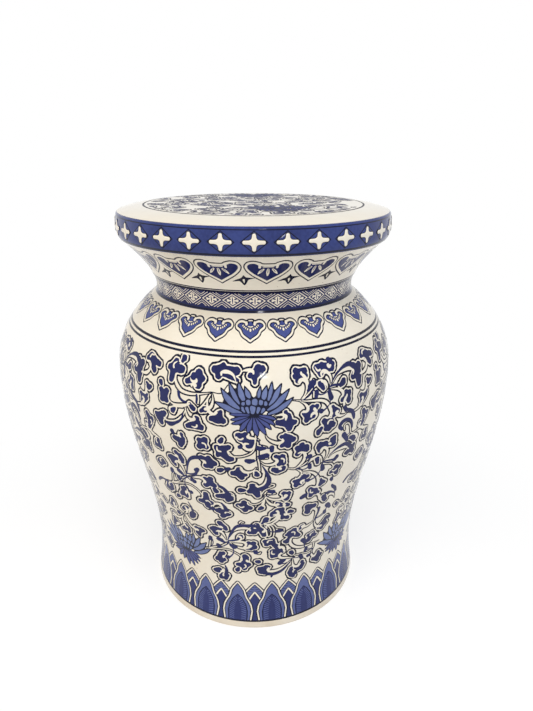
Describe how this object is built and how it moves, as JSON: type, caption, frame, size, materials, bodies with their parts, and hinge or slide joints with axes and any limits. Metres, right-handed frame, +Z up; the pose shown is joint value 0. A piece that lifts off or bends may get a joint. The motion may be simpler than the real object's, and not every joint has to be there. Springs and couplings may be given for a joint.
{
  "type": "ceramic garden stool",
  "caption": "Hollow glazed ceramic garden stool with a round, slightly crowned seat, flared neck, full belly and narrow foot, in blue-and-white scrollwork.",
  "frame": {"origin": "centre of the foot, on the ground", "axes": "+Z up the axis of the stool, which is turned about it"},
  "size_m": [0.3084, 0.3084, 0.462],
  "materials": {
    "ivory_glaze": "glossy clear glaze over an ivory slip",
    "cobalt_glaze": "glossy clear glaze over painted cobalt",
    "foot_clay": "satin, thinly glazed on its side and bare underneath"
  },
  "bodies": {
    "root": {"foot_ring": "foot_clay", "lower_body": "ivory_glaze", "upper_body": "ivory_glaze", "collar": "cobalt_glaze", "flared_neck": "ivory_glaze", "rim_band": "cobalt_glaze", "seat_disc": "ivory_glaze"}
  },
  "joints": []
}
